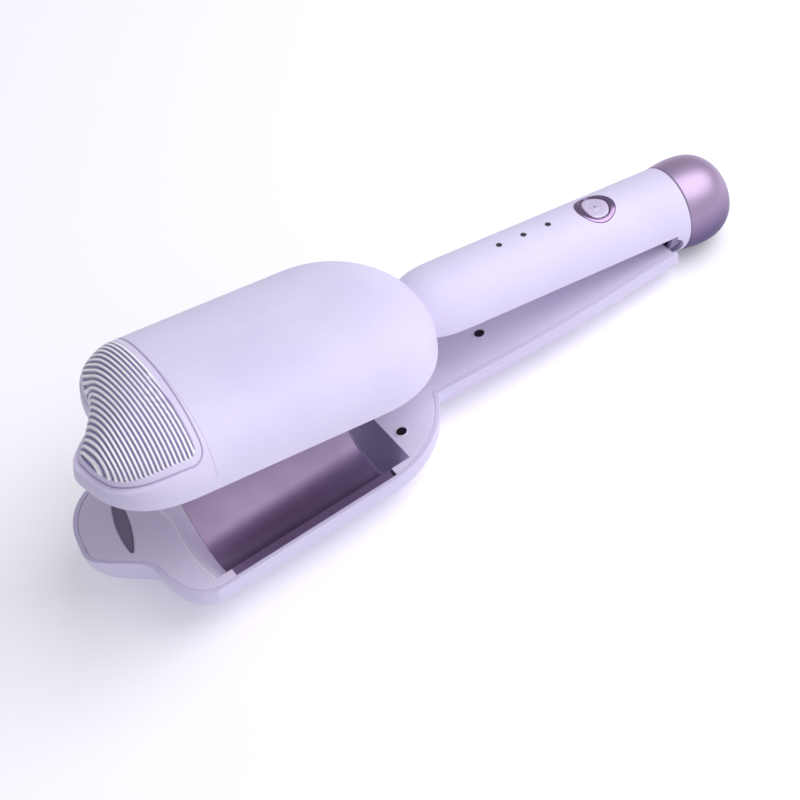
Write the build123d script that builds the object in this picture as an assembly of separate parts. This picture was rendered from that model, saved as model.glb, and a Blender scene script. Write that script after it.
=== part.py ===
from build123d import *
import math
import os

# Hair waver: a handle with an upper jaw moulded in one piece, and a sprung lower arm with its own jaw.
# Millimetres and degrees. The handle axis is X, the jaws point to -X, the end cap to +X, +Z is up, and
# the origin is on the handle axis at the seam of the end cap. At the end everything is tilted and shifted
# so that the waver rests on its foot and cap, with the origin under the middle of its bounding box.

# ---- handle and cap ----
HANDLE_R = 19.0
HANDLE_WALL = 2.0
HANDLE_NOSE_X = -112.0
HANDLE_NOSE = 26.0
HANDLE_NOSE_POWER = 3.0
RING_X0 = -7.0
RING_WALL = 1.8
NOTCH_X = -9.2
NOTCH_Z = -8.0
NOTCH_R = 6.6
NECK_LENGTH = 3.0
NECK_R = 18.05
NECK_WALL = 1.4
CAP_PROFILE = [
    (0.2, 19.1),
    (3.0, 19.5),
    (8.5, 20.1),
    (15.8, 19.7),
    (21.9, 17.7),
    (27.0, 14.7),
    (32.0, 9.8),
]
CAP_END_X = 34.4
CAP_END_R = 4.6
CAP_WALL = 1.8
CAP_SEAM_WALL = 0.9
INLET_X = 26.0
INLET_BORE_R = 2.6
INLET_FLANGE_R = 7.6
INLET_FLANGE = 2.0

# ---- jaws: built with the dome down, rim plane z = 0, turned 180 degrees about X for the upper one ----
JAW_HALF = 44.0
JAW_WALL = 1.8
JAW_POWER = 2.4
NOSE_X = -252.0
NOSE_SHORT = 20.5
NOSE_LONG = 39.6
NOSE_POWER = 2.8
NOSE_STEP_Y = -17.0
NOSE_STEP = 26.0
NOSE_POINTS = 18
JAW_LEVELS = [0.0, 0.2, 0.4, 0.58, 0.74, 0.86, 0.94, 0.98, 0.997]
UPPER_DEPTH = 28.8
UPPER_REAR_X = -171.5
LOWER_DEPTH = 23.5
LOWER_REAR_X = -173.0
CLOSED_GAP = 4.2

# ---- wave of the plates: two arcs joined by a straight flank through the origin ----
WAVE_R = 18.0
WAVE_CENTRE_Y = 20.5
WAVE_HEIGHT = 13.5
WAVE_HALF = 37.9
PLATE_T = 1.6
PLATE_X0 = -247.3
PLATE_X1 = -171.0
FLANGE_Y = 42.0
FLANGE_TOP = -0.1
FLANGE_T = 1.2

# ---- covers inside the jaw rims ----
COVER_T = 2.2
COVER_FIT = 0.1
FRONT_WAVE_X = -248.9
FRONT_FLAT_X = -256.5
REAR_WAVE_X = -169.6
REAR_FLAT_X = -160.5
RUNOUT_T = 1.6
LEAF_SLOT = [
    (-271.9, 21.7),
    (-266.0, 16.5),
    (-268.9, 8.3),
    (-271.6, 0.3),
    (-274.9, -2.8),
    (-275.4, 2.9),
    (-274.9, 11.5),
]
JAW_SCREWS = [(-155.4, -23.7), (-155.4, 23.7), (-99.2, 0.0)]
SCREW_HEAD_R = 2.2
SCREW_HEAD = 1.1
SCREW_TOP = -0.1
SCREW_SHANK_R = 1.2
SCREW_LENGTH = 9.0
SCREW_HOLE_R = 1.35
COUNTERBORE_R = 2.4
COUNTERBORE_Z = -1.2
PILOT_R = 1.25
POST_R = 3.0
POST_GAP = 0.05

# ---- grip pad on the upper nose ----
PAD_X = -248.0
PAD_Z = -6.0

# ---- lever of the lower arm: place, half width, depth ----
LEVER_STATIONS = [
    (-150.0, 16.0, 15.0),
    (-125.0, 17.0, 15.5),
    (-95.0, 19.4, 16.0),
    (-60.0, 20.8, 16.0),
    (-7.6, 20.8, 16.0),
]
LEVER_WALL = 2.0
LEVER_COVER_END = -9.0

# ---- hinge ----
HINGE_X = 9.0
HINGE_Z = -8.0
OPEN_ANGLE = 10.75
PIN_D = 4.0
PIN_LENGTH = 26.0
BUSH_OD = 6.4
BUSH_BORE = 4.1
LUG_Y0 = 3.8
LUG_Y1 = 8.7
LUG_R = 5.0
EAR_Y0 = 9.2
EAR_Y1 = 12.0
SPRING_WIRE = 1.1
SPRING_R = 3.4
SPRING_HALF = 3.3

# ---- key, its ring, lamps and circuit board on the handle ----
KEY_X = -39.3
KEY_Y = -0.7
KEY_TOP_R = 18.8
KEY_BOTTOM_Z = 15.3
KEY_TRAVEL = 0.8
RING_TOP_R = 19.25
KEY_HALF_X = 8.2
KEY_HALF_Y = 8.8
RING_BAND = 1.5
LAMP_X = [-88.0, -75.6, -63.0]
LAMP_D = 2.6
BOARD_Z = 8.2
BOARD_T = 1.6
BOARD_LENGTH = 58.0
BOARD_WIDTH = 24.0
BOARD_X = -64.0

# ---- resting pose on a table ----
REST_TILT = 12.776
BODY_SHIFT_X = 129.3
BODY_SHIFT_Z = 22.675

TURN = Location((0, 0, 0), (180, 0, 0))


def slab(x0, x1, y0, y1, z0, z1):
    """Box between two corners."""
    centre = ((x0 + x1) / 2, (y0 + y1) / 2, (z0 + z1) / 2)
    return Pos(*centre) * Box(x1 - x0, y1 - y0, z1 - z0)


def rod(x, y, z0, z1, radius):
    """Round bar along Z."""
    return Pos(x, y, (z0 + z1) / 2) * Cylinder(radius, z1 - z0)


def cross_rod(x, z, y0, y1, radius):
    """Round bar along Y."""
    return Pos(x, (y0 + y1) / 2, z) * Rot(90, 0, 0) * Cylinder(radius, y1 - y0)


def fused(shapes):
    """Union of a list of solids."""
    total = shapes[0]
    for shape in shapes[1:]:
        total = total + shape
    return total


def one_solid(shape):
    """The main solid of a shape, without any loose face that a union left."""
    return max(shape.solids(), key=lambda solid: solid.volume)


# ---------------------------------------------------------------- jaw shapes


def nose_reach(y, inset):
    """How far the lobed nose stands ahead of its base line at the crosswise place y."""
    half = JAW_HALF - inset
    if abs(y) >= half:
        return 0.0
    t = min(1.0, max(0.0, (y - NOSE_STEP_Y) / NOSE_STEP))
    length = NOSE_SHORT + (NOSE_LONG - NOSE_SHORT) * t * t * (3 - 2 * t) - inset
    return length * (1 - abs(y / half) ** NOSE_POWER) ** (1 / NOSE_POWER)


def section_face(x, points):
    """Face in a plane of constant x between the rim line and a curve through the points below it."""
    vertices = [Vector(x, y, z) for y, z in points]
    curve = Edge.make_spline(vertices, tangents=[Vector(0, 0, -1), Vector(0, 0, 1)])
    return Face(Wire([curve, Edge.make_line(vertices[-1], vertices[0])]))


def arch_points(half, depth, power, count=10):
    """Half superellipse below z = 0, from +half to -half."""
    points = []
    for i in range(count + 1):
        t = math.pi * i / count
        c, s = math.cos(t), math.sin(t)
        y = half * math.copysign(abs(c) ** (2 / power), c)
        z = -depth * max(s, 0.0) ** (2 / power)
        points.append((y, 0.0 if i in (0, count) else z))
    return points


def jaw_slice(level, rear_x, depth, inset):
    """Outline of a jaw at a share of its depth: lobed nose, straight sides and round rear end."""
    share = (1 - level ** JAW_POWER) ** (1 / JAW_POWER)
    half = (JAW_HALF - inset) * share
    z = -(depth - inset) * level
    front = []
    for i in range(NOSE_POINTS + 1):
        y = (JAW_HALF - inset) * math.cos(math.pi * i / NOSE_POINTS)
        front.append(Vector(NOSE_X - nose_reach(y, inset) * share, y * share, z))
    rear = [Vector(rear_x, -half, z), Vector(rear_x + half, 0, z), Vector(rear_x, half, z)]
    nose = Edge.make_spline(front, tangents=[Vector(-1, 0, 0), Vector(1, 0, 0)])
    edges = [
        nose,
        Edge.make_line(front[-1], rear[0]),
        Edge.make_three_point_arc(*rear),
        Edge.make_line(rear[-1], front[0]),
    ]
    return Wire(edges)


def jaw_body(depth, rear_x, inset=0.0):
    """Solid dome of a jaw, shrunk by the inset, as a loft of its level outlines."""
    return Part() + Solid.make_loft([jaw_slice(level, rear_x, depth, inset) for level in JAW_LEVELS])


def lever_body(inset=0.0):
    """Solid lever of the lower arm, shrunk by the inset."""
    stations = [(x, half - inset, depth - inset) for x, half, depth in LEVER_STATIONS]
    return loft([section_face(x, arch_points(half, depth, JAW_POWER)) for x, half, depth in stations])


def handle_body(radius, nose):
    """Solid half of the handle, flat side up like the jaws, with its rounded nose inside the jaw."""
    bar = Pos(HANDLE_NOSE_X / 2, 0, 0) * Rot(0, 90, 0) * Cylinder(radius, -HANDLE_NOSE_X)
    bar = bar & slab(HANDLE_NOSE_X, 0, -radius, radius, -radius, 0)
    points = []
    for i in range(9):
        t = math.pi / 2 * i / 8
        ahead = nose * math.sin(t) ** (2 / HANDLE_NOSE_POWER)
        drop = radius * math.cos(t) ** (2 / HANDLE_NOSE_POWER)
        points.append(Vector(HANDLE_NOSE_X - ahead, 0, -drop if i < 8 else 0.0))
    curve = Edge.make_spline(points, tangents=[Vector(-1, 0, 0), Vector(0, 0, 1)])
    centre = Vector(HANDLE_NOSE_X, 0, 0)
    face = Face(Wire([Edge.make_line(centre, points[0]), curve, Edge.make_line(points[-1], centre)]))
    tip = revolve(face, Axis((0, 0, 0), (1, 0, 0)), 90) + revolve(face, Axis((0, 0, 0), (1, 0, 0)), -90)
    return bar + tip


def tube(x0, x1, outer, inner):
    """Round tube along X."""
    placed = Pos((x0 + x1) / 2, 0, 0) * Rot(0, 90, 0)
    return placed * Cylinder(outer, x1 - x0) - placed * Cylinder(inner, x1 - x0)


def screw_bosses(outer, z_top):
    """Posts in a shell under the cover screws."""
    return fused([rod(x, y, -40, z_top, POST_R) for x, y in JAW_SCREWS]) & outer


# ---------------------------------------------------------------- wave plate


def wave_nodes(offset):
    """The four corner points of the wave curve and its two arc middles, moved below it by the offset."""
    rise = WAVE_R - WAVE_HEIGHT
    span = math.hypot(WAVE_CENTRE_Y, rise)
    flank = math.asin(WAVE_R / span) - math.atan2(rise, WAVE_CENTRE_Y)
    end = math.pi - math.asin(math.sqrt(WAVE_R ** 2 - (WAVE_HALF - WAVE_CENTRE_Y) ** 2) / WAVE_R)
    trough, crest = [], []
    for angle in (-end, -math.pi / 2, flank - math.pi / 2):
        radius = WAVE_R + offset
        trough.append((-WAVE_CENTRE_Y + radius * math.cos(angle), rise + radius * math.sin(angle)))
    for angle in (flank + math.pi / 2, math.pi / 2, math.pi - end):
        radius = WAVE_R - offset
        crest.append((WAVE_CENTRE_Y + radius * math.cos(angle), -rise + radius * math.sin(angle)))
    return trough + crest


def wave_wire(x, top, bottom):
    """Closed outline between two offsets of the wave, as arcs and lines."""
    edges = []
    for offset, order in ((top, 1), (bottom, -1)):
        p = [Vector(x, y, z) for y, z in wave_nodes(offset)][::order]
        edges.append(Edge.make_three_point_arc(p[0], p[1], p[2]))
        edges.append(Edge.make_line(p[2], p[3]))
        edges.append(Edge.make_three_point_arc(p[3], p[4], p[5]))
    p, q = wave_nodes(top), wave_nodes(bottom)
    edges.insert(3, Edge.make_line(Vector(x, *p[5]), Vector(x, *q[5])))
    edges.append(Edge.make_line(Vector(x, *q[0]), Vector(x, *p[0])))
    return Wire(edges)


def flat_wire(x, thickness):
    """Flat band with as many corners as the wave outline, for the run-out between wave and cover."""
    ys = [wave_nodes(0.0)[i][0] for i in (0, 2, 3, 5)]
    corners = [Vector(x, y, 0.0) for y in ys] + [Vector(x, y, -thickness) for y in reversed(ys)]
    edges = [Edge.make_line(corners[i], corners[(i + 1) % 8]) for i in range(8)]
    return Wire(edges)


def plate():
    """Wave-shaped hot plate with a flange along each side."""
    wave = extrude(Face(wave_wire(PLATE_X0, 0.0, PLATE_T)), PLATE_X1 - PLATE_X0, dir=(1, 0, 0))
    z0 = FLANGE_TOP - FLANGE_T
    near = slab(PLATE_X0, PLATE_X1, -FLANGE_Y, -WAVE_HALF - 0.2, z0, FLANGE_TOP)
    far = slab(PLATE_X0, PLATE_X1, WAVE_HALF - 1.5, FLANGE_Y, z0, FLANGE_TOP)
    return wave + near + far


def runout(x_wave, x_flat):
    """Sloping wall from the end of the wave to the flat cover."""
    wave = Face(wave_wire(x_wave, 0.0, RUNOUT_T))
    flat = Face(flat_wire(x_flat, RUNOUT_T))
    return Solid.make_loft([wave.outer_wire(), flat.outer_wire()], True)


def cover_window(x0, x1):
    """Space cut from a flat cover where the run-out lies."""
    return slab(x0, x1, -WAVE_HALF, WAVE_HALF, -COVER_T - 1, 1)


def tip_cover(inner):
    """Flat cover of the nose with the run-out of the wave and a leaf-shaped slot."""
    flat = inner & slab(-300, FRONT_WAVE_X, -50, 50, -COVER_T, 0)
    flat = flat - cover_window(FRONT_FLAT_X, FRONT_WAVE_X + 1)
    leaf = Wire([Edge.make_spline([Vector(x, y, -5) for x, y in LEAF_SLOT], periodic=True)])
    slot = extrude(Face(leaf), 10, dir=(0, 0, 1))
    return [one_solid(flat - slot), runout(FRONT_WAVE_X, FRONT_FLAT_X)]


def arm_cover(inner, x_end):
    """Flat cover behind the plate, down the arm to x_end, with the rear run-out and screw holes."""
    flat = inner & slab(REAR_WAVE_X, x_end, -50, 50, -COVER_T, 0)
    cover = flat - cover_window(REAR_WAVE_X - 1, REAR_FLAT_X)
    for x, y in JAW_SCREWS:
        cover = cover - rod(x, y, -COVER_T - 1, 1, SCREW_HOLE_R) - rod(x, y, COUNTERBORE_Z, 1, COUNTERBORE_R)
    return [one_solid(cover), runout(REAR_WAVE_X, REAR_FLAT_X)]


def plate_rails(inner):
    """Two heat-proof rails that carry the flanges of the plate."""
    z1 = FLANGE_TOP - FLANGE_T - 0.05
    rails = []
    for side in (-1, 1):
        y0, y1 = sorted((side * 39.7, side * 43))
        rails.append(inner & slab(PLATE_X0, PLATE_X1, y0, y1, -4.4, z1))
    return rails


def flank_box(length, width, near, far, x_middle):
    """Block lying flat under the straight flank of the wave, between two distances from it."""
    rise = WAVE_R - WAVE_HEIGHT
    flank = math.asin(WAVE_R / math.hypot(WAVE_CENTRE_Y, rise)) - math.atan2(rise, WAVE_CENTRE_Y)
    off = (near + far) / 2
    place = Pos(x_middle, off * math.sin(flank), -off * math.cos(flank)) * Rot(math.degrees(flank), 0, 0)
    return place * Box(length, width, far - near)


def heater_parts(name):
    """Ceramic heater, insulating sheet, clip, thermal fuse and sensor behind one plate."""
    middle = (PLATE_X0 + PLATE_X1) / 2
    clip = flank_box(60, 19.6, 6.1, 6.9, middle)
    for side in (-1, 1):
        clip = clip + flank_box(2.0, 8.0, 6.1, 9.4, middle + side * 26)
    fuse = Pos(middle, -WAVE_CENTRE_Y, -WAVE_HEIGHT - PLATE_T - 1.65) * Rot(0, 90, 0) * Cylinder(1.5, 10)
    sensor = Pos(middle, WAVE_CENTRE_Y, WAVE_HEIGHT - PLATE_T - 1.35) * Rot(0, 90, 0) * Cylinder(1.2, 5)
    return {
        name + "_insulating_sheet": flank_box(72, 19.4, 1.65, 1.95, middle),
        name + "_heater": flank_box(70, 18, 2.0, 6.0, middle),
        name + "_heater_clip": clip,
        name + "_thermal_fuse": fuse,
        name + "_temperature_sensor": sensor,
    }


def screw(x, y):
    """Pan screw along Z with a crosswise slot in its head."""
    head = rod(x, y, SCREW_TOP - SCREW_HEAD, SCREW_TOP, SCREW_HEAD_R)
    shank = rod(x, y, SCREW_TOP - SCREW_LENGTH, SCREW_TOP - SCREW_HEAD + 0.1, SCREW_SHANK_R)
    return head + shank - slab(x - 1.5, x + 1.5, y - 0.3, y + 0.3, SCREW_TOP - 0.5, SCREW_TOP + 1)


def jaw_screws():
    """The three screws through a flat cover."""
    return [screw(x, y) for x, y in JAW_SCREWS]


# ---------------------------------------------------------------- shells


def pilot_holes():
    """Holes in the posts for the cover screws, half a millimetre deeper than the screws."""
    return fused([rod(x, y, SCREW_TOP - SCREW_LENGTH - 0.5, 1, PILOT_R) for x, y in JAW_SCREWS])


def pad_window(grow):
    """Region of the upper nose that the grip pad takes, in jaw orientation."""
    return slab(-300, PAD_X + grow, -50, 50, -40, PAD_Z + grow)


def lower_shell():
    """Lower jaw and lever in one moulding, open under the hinge, with posts for the cover screws."""
    outer = jaw_body(LOWER_DEPTH, LOWER_REAR_X) + lever_body()
    inner = jaw_body(LOWER_DEPTH, LOWER_REAR_X, JAW_WALL) + lever_body(LEVER_WALL)
    shell = outer - inner
    shell = shell - slab(-8.2, 0, -12, 12, -14, 1)
    shell = shell + screw_bosses(outer, -COVER_T - POST_GAP)
    return one_solid(shell - pilot_holes())


def upper_parts():
    """Handle shell and grip pad, in jaw orientation."""
    handle = handle_body(HANDLE_R, HANDLE_NOSE) - key_prism(-0.05, 10, 25).moved(TURN)
    for x in LAMP_X:
        handle = handle - rod(x, 0, -25, -12, LAMP_D / 2 + 0.05)
    outer = jaw_body(UPPER_DEPTH, UPPER_REAR_X) + handle
    jaw_room = jaw_body(UPPER_DEPTH, UPPER_REAR_X, JAW_WALL)
    inner = jaw_room + handle_body(HANDLE_R - HANDLE_WALL, HANDLE_NOSE - HANDLE_WALL)
    pad = (outer & pad_window(-COVER_FIT)) - inner
    shell = (outer - pad_window(0.0)) - inner
    shell = shell + screw_bosses(outer, -COVER_T - POST_GAP)
    ring = tube(RING_X0, 0, HANDLE_R, HANDLE_R - RING_WALL)
    for side in (-1, 1):
        y0, y1 = sorted((side * 12, side * 22))
        ring = ring - cross_rod(NOTCH_X, -NOTCH_Z, y0, y1, NOTCH_R)
    shell = shell + ring + tube(-0.5, NECK_LENGTH, NECK_R, NECK_R - NECK_WALL)
    return one_solid(shell - pilot_holes()), one_solid(pad)


def key_prism(inset, z0, z1):
    """Upright prism over the oval outline of the key, shrunk by the inset."""
    oval = Pos(KEY_X, KEY_Y, z0) * Ellipse(KEY_HALF_X - inset, KEY_HALF_Y - inset)
    return extrude(oval, z1 - z0, dir=(0, 0, 1))


def handle_bar(radius):
    """Full round bar of the handle around the key."""
    return Pos(KEY_X, 0, 0) * Rot(0, 90, 0) * Cylinder(radius, 40)


def key_ring():
    """Metallic ring around the key, just proud of the handle."""
    band = key_prism(0.0, 10, 25) - key_prism(RING_BAND, 9, 26)
    return (band & handle_bar(RING_TOP_R)) - handle_bar(HANDLE_R - HANDLE_WALL)


def power_key():
    """Key with a short stem under it that reaches the switch."""
    cap = key_prism(RING_BAND + 0.15, KEY_BOTTOM_Z, 25) & handle_bar(KEY_TOP_R)
    return cap + rod(KEY_X, KEY_Y, KEY_BOTTOM_Z - 0.7, KEY_BOTTOM_Z + 1, 1.4)


def tact_switch():
    """Small switch on the circuit board, with its plunger."""
    top = BOARD_Z + BOARD_T
    body = slab(KEY_X - 3, KEY_X + 3, KEY_Y - 3, KEY_Y + 3, top, top + 3.2)
    return body + rod(KEY_X, KEY_Y, top + 3.2, KEY_BOTTOM_Z - 0.7 - KEY_TRAVEL - 0.1, 1.2)


def circuit_board():
    """Plain board under the key and the lamps."""
    half = BOARD_WIDTH / 2
    x0, x1 = BOARD_X - BOARD_LENGTH / 2, BOARD_X + BOARD_LENGTH / 2
    return slab(x0, x1, -half, half, BOARD_Z, BOARD_Z + BOARD_T)


def end_cap():
    """Turned end cap, open at the seam and at the cord inlet."""
    outer = [Vector(x, 0, r) for x, r in CAP_PROFILE] + [Vector(CAP_END_X, 0, CAP_END_R)]
    inner = []
    for x, r in CAP_PROFILE:
        back = CAP_WALL if x > CAP_END_X / 3 else 0
        wall = CAP_SEAM_WALL if x < CAP_END_X / 7 else CAP_WALL
        inner.append(Vector(x - back, 0, r - wall))
    inner.append(Vector(CAP_END_X - CAP_WALL, 0, CAP_END_R))
    edges = [
        Edge.make_spline(outer),
        Edge.make_line(outer[-1], inner[-1]),
        Edge.make_spline(inner),
        Edge.make_line(inner[0], outer[0]),
    ]
    return revolve(Face(Wire(edges)), Axis((0, 0, 0), (1, 0, 0)), 360)


def cord_inlet():
    """Swivelling bush that the cord leaves through, held by a flange inside the cap."""
    body = tube(INLET_X, CAP_END_X, CAP_END_R - 0.3, INLET_BORE_R)
    flange = tube(INLET_X, INLET_X + INLET_FLANGE, INLET_FLANGE_R, INLET_BORE_R)
    return body + flange


def hinge_bracket():
    """Bracket screwed inside the handle, with two ears that hold the hinge pin."""
    base = slab(-30, 14, -EAR_Y1, EAR_Y1, 2.3, 4.3)
    for side in (-1, 1):
        y0, y1 = sorted((side * EAR_Y0, side * EAR_Y1))
        ear = slab(HINGE_X - 4, HINGE_X + 4, y0, y1, HINGE_Z, 4.3)
        ear = ear + cross_rod(HINGE_X, HINGE_Z, y0, y1, 4.0)
        base = base + ear
    return base - cross_rod(HINGE_X, HINGE_Z, -20, 20, PIN_D / 2)


def hinge_arm():
    """Tongue fixed in the lever, forked around the spring, in the closed pose."""
    tongue = slab(-52, 5, -LUG_Y1, LUG_Y1, HINGE_Z - 3.0, HINGE_Z + 1.5)
    lug = cross_rod(HINGE_X, HINGE_Z, -LUG_Y1, LUG_Y1, LUG_R)
    fork = slab(1.5, 20, -LUG_Y0, LUG_Y0, -20, 5)
    return tongue + lug - fork - cross_rod(HINGE_X, HINGE_Z, -20, 20, BUSH_OD / 2)


def hinge_bushes():
    """Plain bushes in the two lugs of the tongue."""
    bushes = []
    for side in (-1, 1):
        y0, y1 = sorted((side * LUG_Y0, side * LUG_Y1))
        sleeve = cross_rod(HINGE_X, HINGE_Z, y0, y1, BUSH_OD / 2)
        bushes.append(sleeve - cross_rod(HINGE_X, HINGE_Z, -20, 20, BUSH_BORE / 2))
    return bushes


def torsion_spring():
    """Closed coil around the pin."""
    outer = cross_rod(HINGE_X, HINGE_Z, -SPRING_HALF, SPRING_HALF, SPRING_R + SPRING_WIRE / 2)
    return outer - cross_rod(HINGE_X, HINGE_Z, -20, 20, SPRING_R - SPRING_WIRE / 2)


# ---------------------------------------------------------------- assembly


def opened():
    """Location that carries a lower-arm piece from jaw orientation to its open place under the handle."""
    pivot = Pos(HINGE_X, 0, HINGE_Z)
    back = Pos(-HINGE_X, 0, -HINGE_Z)
    return pivot * Rot(0, -OPEN_ANGLE, 0) * back * Pos(0, 0, -CLOSED_GAP)


def build():
    """All nodes in the handle frame: name -> solid or list of solids."""
    nodes = {}
    shell, pad = upper_parts()
    room = jaw_body(UPPER_DEPTH, UPPER_REAR_X, JAW_WALL + COVER_FIT)
    handle_room = handle_body(HANDLE_R - HANDLE_WALL - COVER_FIT, HANDLE_NOSE - HANDLE_WALL)
    nodes["handle_shell"] = shell.moved(TURN)
    nodes["tip_grip_pad"] = pad.moved(TURN)
    upper = {
        "upper_tip_cover": tip_cover(room),
        "handle_cover": arm_cover(room + handle_room, LEVER_COVER_END),
        "upper_plate": plate(),
        "upper_plate_rails": plate_rails(room),
        "upper_cover_screws": jaw_screws(),
    }
    upper.update(heater_parts("upper"))
    place(nodes, upper, TURN)
    lower_room = jaw_body(LOWER_DEPTH, LOWER_REAR_X, JAW_WALL + COVER_FIT)
    lever_room = lever_body(LEVER_WALL + COVER_FIT)
    lower = {
        "lower_shell": lower_shell(),
        "lower_tip_cover": tip_cover(lower_room),
        "lower_arm_cover": arm_cover(lower_room + lever_room, LEVER_COVER_END),
        "lower_plate": plate(),
        "lower_plate_rails": plate_rails(lower_room),
        "lower_cover_screws": jaw_screws(),
    }
    lower.update(heater_parts("lower"))
    place(nodes, lower, opened())
    swing = opened() * Pos(0, 0, CLOSED_GAP)
    place(nodes, {"hinge_arm": hinge_arm(), "hinge_bushes": hinge_bushes()}, swing)
    nodes["hinge_bracket"] = hinge_bracket()
    nodes["hinge_pin"] = cross_rod(HINGE_X, HINGE_Z, -PIN_LENGTH / 2, PIN_LENGTH / 2, PIN_D / 2)
    nodes["torsion_spring"] = torsion_spring()
    nodes["power_key_ring"] = key_ring()
    nodes["power_key"] = power_key()
    nodes["tact_switch"] = tact_switch()
    nodes["circuit_board"] = circuit_board()
    nodes["indicator_lights"] = [rod(x, 0, BOARD_Z + BOARD_T, 19.05, LAMP_D / 2) for x in LAMP_X]
    nodes["end_cap"] = end_cap()
    nodes["cord_inlet"] = cord_inlet()
    return nodes


def place(nodes, pieces, location):
    """Adds the pieces to the nodes after moving them."""
    for name, shape in pieces.items():
        solids = shape if isinstance(shape, list) else [shape]
        nodes[name] = [solid.moved(location) for solid in solids]


def main():
    """Builds every node, sets it down on the table and writes its file."""
    os.makedirs("parts", exist_ok=True)
    rest = Pos(BODY_SHIFT_X, 0, BODY_SHIFT_Z) * Rot(0, REST_TILT, 0)
    for name, shape in build().items():
        solids = shape if isinstance(shape, list) else [shape]
        moved = [solid.moved(rest) for solid in solids]
        if name == "lower_shell":
            moved = [one_solid(solid - slab(-400, 400, -100, 100, -10, 0)) for solid in moved]
        out = moved[0] if len(moved) == 1 else Compound(children=moved)
        export_step(out, os.path.join("parts", name + ".step"))
        box = out.bounding_box()
        print(name, [round(v, 1) for v in (*box.min, *box.max)])


main()
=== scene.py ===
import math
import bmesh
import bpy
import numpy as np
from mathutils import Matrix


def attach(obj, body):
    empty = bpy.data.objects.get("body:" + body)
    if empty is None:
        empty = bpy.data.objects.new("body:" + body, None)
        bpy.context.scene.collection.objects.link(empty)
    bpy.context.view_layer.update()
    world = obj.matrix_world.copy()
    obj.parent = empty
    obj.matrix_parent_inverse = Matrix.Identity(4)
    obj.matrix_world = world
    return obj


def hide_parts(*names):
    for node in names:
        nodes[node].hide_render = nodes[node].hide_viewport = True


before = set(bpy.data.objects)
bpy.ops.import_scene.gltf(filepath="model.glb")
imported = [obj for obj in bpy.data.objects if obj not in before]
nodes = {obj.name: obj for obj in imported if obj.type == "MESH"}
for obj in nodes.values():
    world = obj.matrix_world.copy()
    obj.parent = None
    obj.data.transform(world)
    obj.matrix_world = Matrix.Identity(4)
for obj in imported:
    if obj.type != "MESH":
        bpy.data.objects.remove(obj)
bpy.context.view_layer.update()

# %% [markdown]
# # Dressing a hair waver
# A hair waver presses hair between two wavy hot plates. Its handle and its upper jaw are one lavender
# moulding, a sprung lower arm carries the second jaw, and a metallic cap closes the rear end. The frame
# that was just loaded holds one mesh for each part of the CAD model. This lesson gives every part a
# finish, and replaces the few parts whose real surface has more in it than a CAD solid shows.

# %% [markdown]
# ## From the handle's own axes to the table
# The waver is easiest to draw along its handle: X runs along the handle axis from the jaws to the cap,
# Z is up, and zero is the seam of the cap. On the table it lies tilted, on its low jaw and its cap. One
# function turns and shifts an array of points from the first place to the second, and also turns
# millimetres into Blender's metres.

# %% Handle axes to table
def about_y(degrees):
    """Matrix that turns points about the Y axis, by the right-hand rule."""
    cosine, sine = math.cos(math.radians(degrees)), math.sin(math.radians(degrees))
    return np.array([[cosine, 0, sine], [0, 1, 0], [-sine, 0, cosine]])


TILT_MATRIX = about_y(12.776)
SHIFT_MM = np.array([129.3, 0.0, 22.675])


def on_table(points):
    """Points in handle millimetres, tilted about Y and shifted, in metres."""
    return (np.asarray(points) @ TILT_MATRIX.T + SHIFT_MM) / 1000


print("one metre along the handle, on the table", TILT_MATRIX[:, 0].round(3))

# %% [markdown]
# ## A surface from a grid of points
# Most pieces here are a sheet of points with rows and columns. Neighbours in the grid make one square
# face each. A grid can be closed along its rows, as a tube is. A wall is two such sheets, an outside and
# an inside, joined round their rims. Every piece is closed, so its volume tells which way its faces point:
# where it comes out negative, the mesh is inside out and is turned.

# %% Grid helpers
def grid_faces(rows, columns, close_rows=False, close_columns=False):
    """Corner numbers of the square faces of a rows by columns grid, wrapped where it is closed."""
    row = np.arange(rows if close_rows else rows - 1)[:, None] * columns
    below = (row + columns) % (rows * columns)
    column = np.arange(columns if close_columns else columns - 1)[None, :]
    beside = (column + 1) % columns
    corners = [row + column, below + column, below + beside, row + beside]
    return np.stack([corner.ravel() for corner in corners], axis=1)


def with_ends(faces, rows, columns):
    """The faces of a tube as a list, with one more face over each of its two ends."""
    last = (rows - 1) * columns
    return faces.tolist() + [list(range(columns))[::-1], list(range(last, last + columns))]


def walled(outside, inside):
    """Points and faces of a closed wall between two sheets of points with the same rows and columns."""
    rows, columns = outside.shape[:2]
    count = rows * columns
    sheet = grid_faces(rows, columns)
    index = np.arange(count).reshape(rows, columns)
    rim = np.concatenate([index[0, :-1], index[:-1, -1], index[-1, :0:-1], index[:0:-1, 0]])
    after = np.roll(rim, -1)
    edge = np.stack([rim, after, after + count, rim + count], axis=1)
    points = np.concatenate([outside.reshape(-1, 3), inside.reshape(-1, 3)])
    return points, np.concatenate([sheet[:, ::-1], sheet + count, edge])


def unit(vectors):
    """Vectors made one long. Each lies along the last axis of the array."""
    return vectors / np.maximum(np.linalg.norm(vectors, axis=-1, keepdims=True), 1e-12)


def in_scene(name, data):
    """A new object with this data, at the origin of the scene."""
    made = bpy.data.objects.new(name, data)
    bpy.context.scene.collection.objects.link(made)
    return made


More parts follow.
